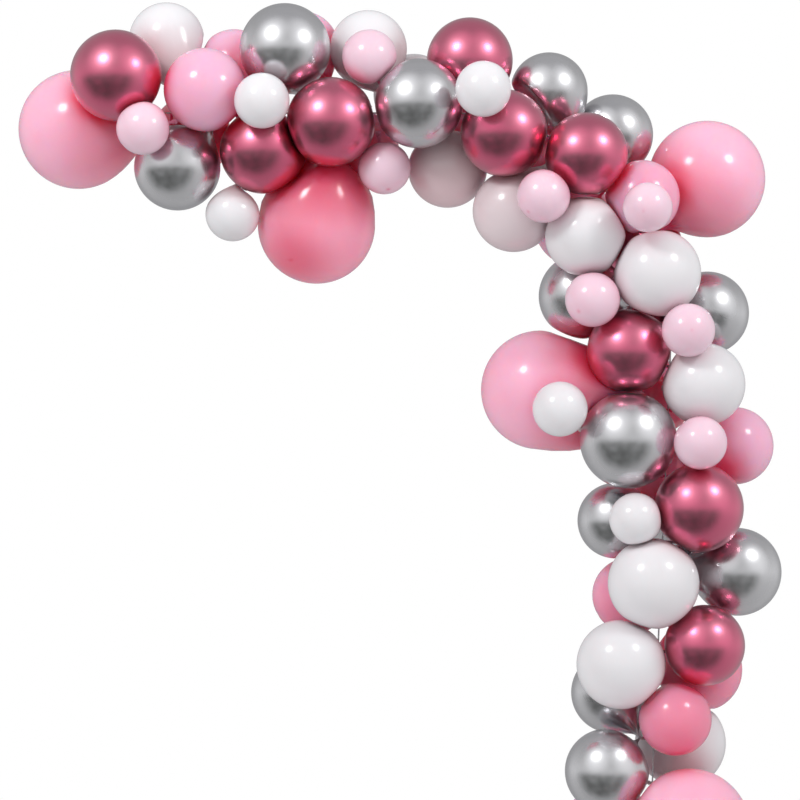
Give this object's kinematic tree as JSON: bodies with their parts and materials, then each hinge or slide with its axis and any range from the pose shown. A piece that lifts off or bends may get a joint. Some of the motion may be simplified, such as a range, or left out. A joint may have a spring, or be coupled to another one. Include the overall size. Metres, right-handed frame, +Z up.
{
  "type": "balloon garland",
  "caption": "Corner balloon garland: a punched strip along an arm, round a bend and down a column, with latex and chrome-look balloons tied in all round and small ones stuck on.",
  "frame": {"origin": "on the strip's upper face, on the straight arm just before the bend, midway between two holes", "axes": "+Z up, +X to the viewer's right, where the column hangs; the viewer stands at -Y"},
  "size_m": [1.9179, 0.559, 2.2066],
  "materials": {
    "clear_plastic": "clear, semi-gloss",
    "pink_latex": "gloss",
    "blush_latex": "gloss",
    "white_latex": "gloss",
    "rose_chrome": "metallic satin",
    "silver_chrome": "metallic satin"
  },
  "bodies": {
    "root": {"strip": "clear_plastic", "pink_pair_1": "pink_latex", "rose_1": "rose_chrome", "white_1": "white_latex", "silver_1": "silver_chrome", "pink_2": "pink_latex", "pink_pair_2": "pink_latex", "rose_2": "rose_chrome", "silver_2": "silver_chrome", "pink_pair_3": "pink_latex", "pink_large_2": "pink_latex", "rose_3": "rose_chrome", "white_2": "white_latex", "silver_3": "silver_chrome", "white_pair_1": "white_latex", "rose_4": "rose_chrome", "rose_5": "rose_chrome", "pink_pair_4": "pink_latex", "silver_pair_1": "silver_chrome", "white_5": "white_latex", "rose_6": "rose_chrome", "pink_9": "pink_latex", "white_6": "white_latex", "pink_10": "pink_latex", "pink_large_3": "pink_latex", "white_7": "white_latex", "silver_6": "silver_chrome", "rose_pair_1": "rose_chrome", "silver_7": "silver_chrome", "rose_9": "rose_chrome", "white_8": "white_latex", "pink_large_4": "pink_latex", "pink_pair_5": "pink_latex", "silver_8": "silver_chrome", "pink_13": "pink_latex", "rose_10": "rose_chrome", "silver_pair_2": "silver_chrome", "silver_11": "silver_chrome", "white_9": "white_latex", "pink_pair_6": "pink_latex", "rose_11": "rose_chrome", "white_10": "white_latex", "silver_pair_3": "silver_chrome", "pink_16": "pink_latex", "white_pair_2": "white_latex", "pink_large_5": "pink_latex", "pink_17": "pink_latex", "blush_small_1": "blush_latex", "blush_small_2": "blush_latex", "blush_small_3": "blush_latex", "blush_small_4": "blush_latex", "blush_small_5": "blush_latex", "blush_small_6": "blush_latex", "blush_small_7": "blush_latex", "blush_small_8": "blush_latex", "white_small_1": "white_latex", "white_small_2": "white_latex", "white_small_3": "white_latex", "white_small_4": "white_latex", "white_small_5": "white_latex"}
  },
  "joints": []
}
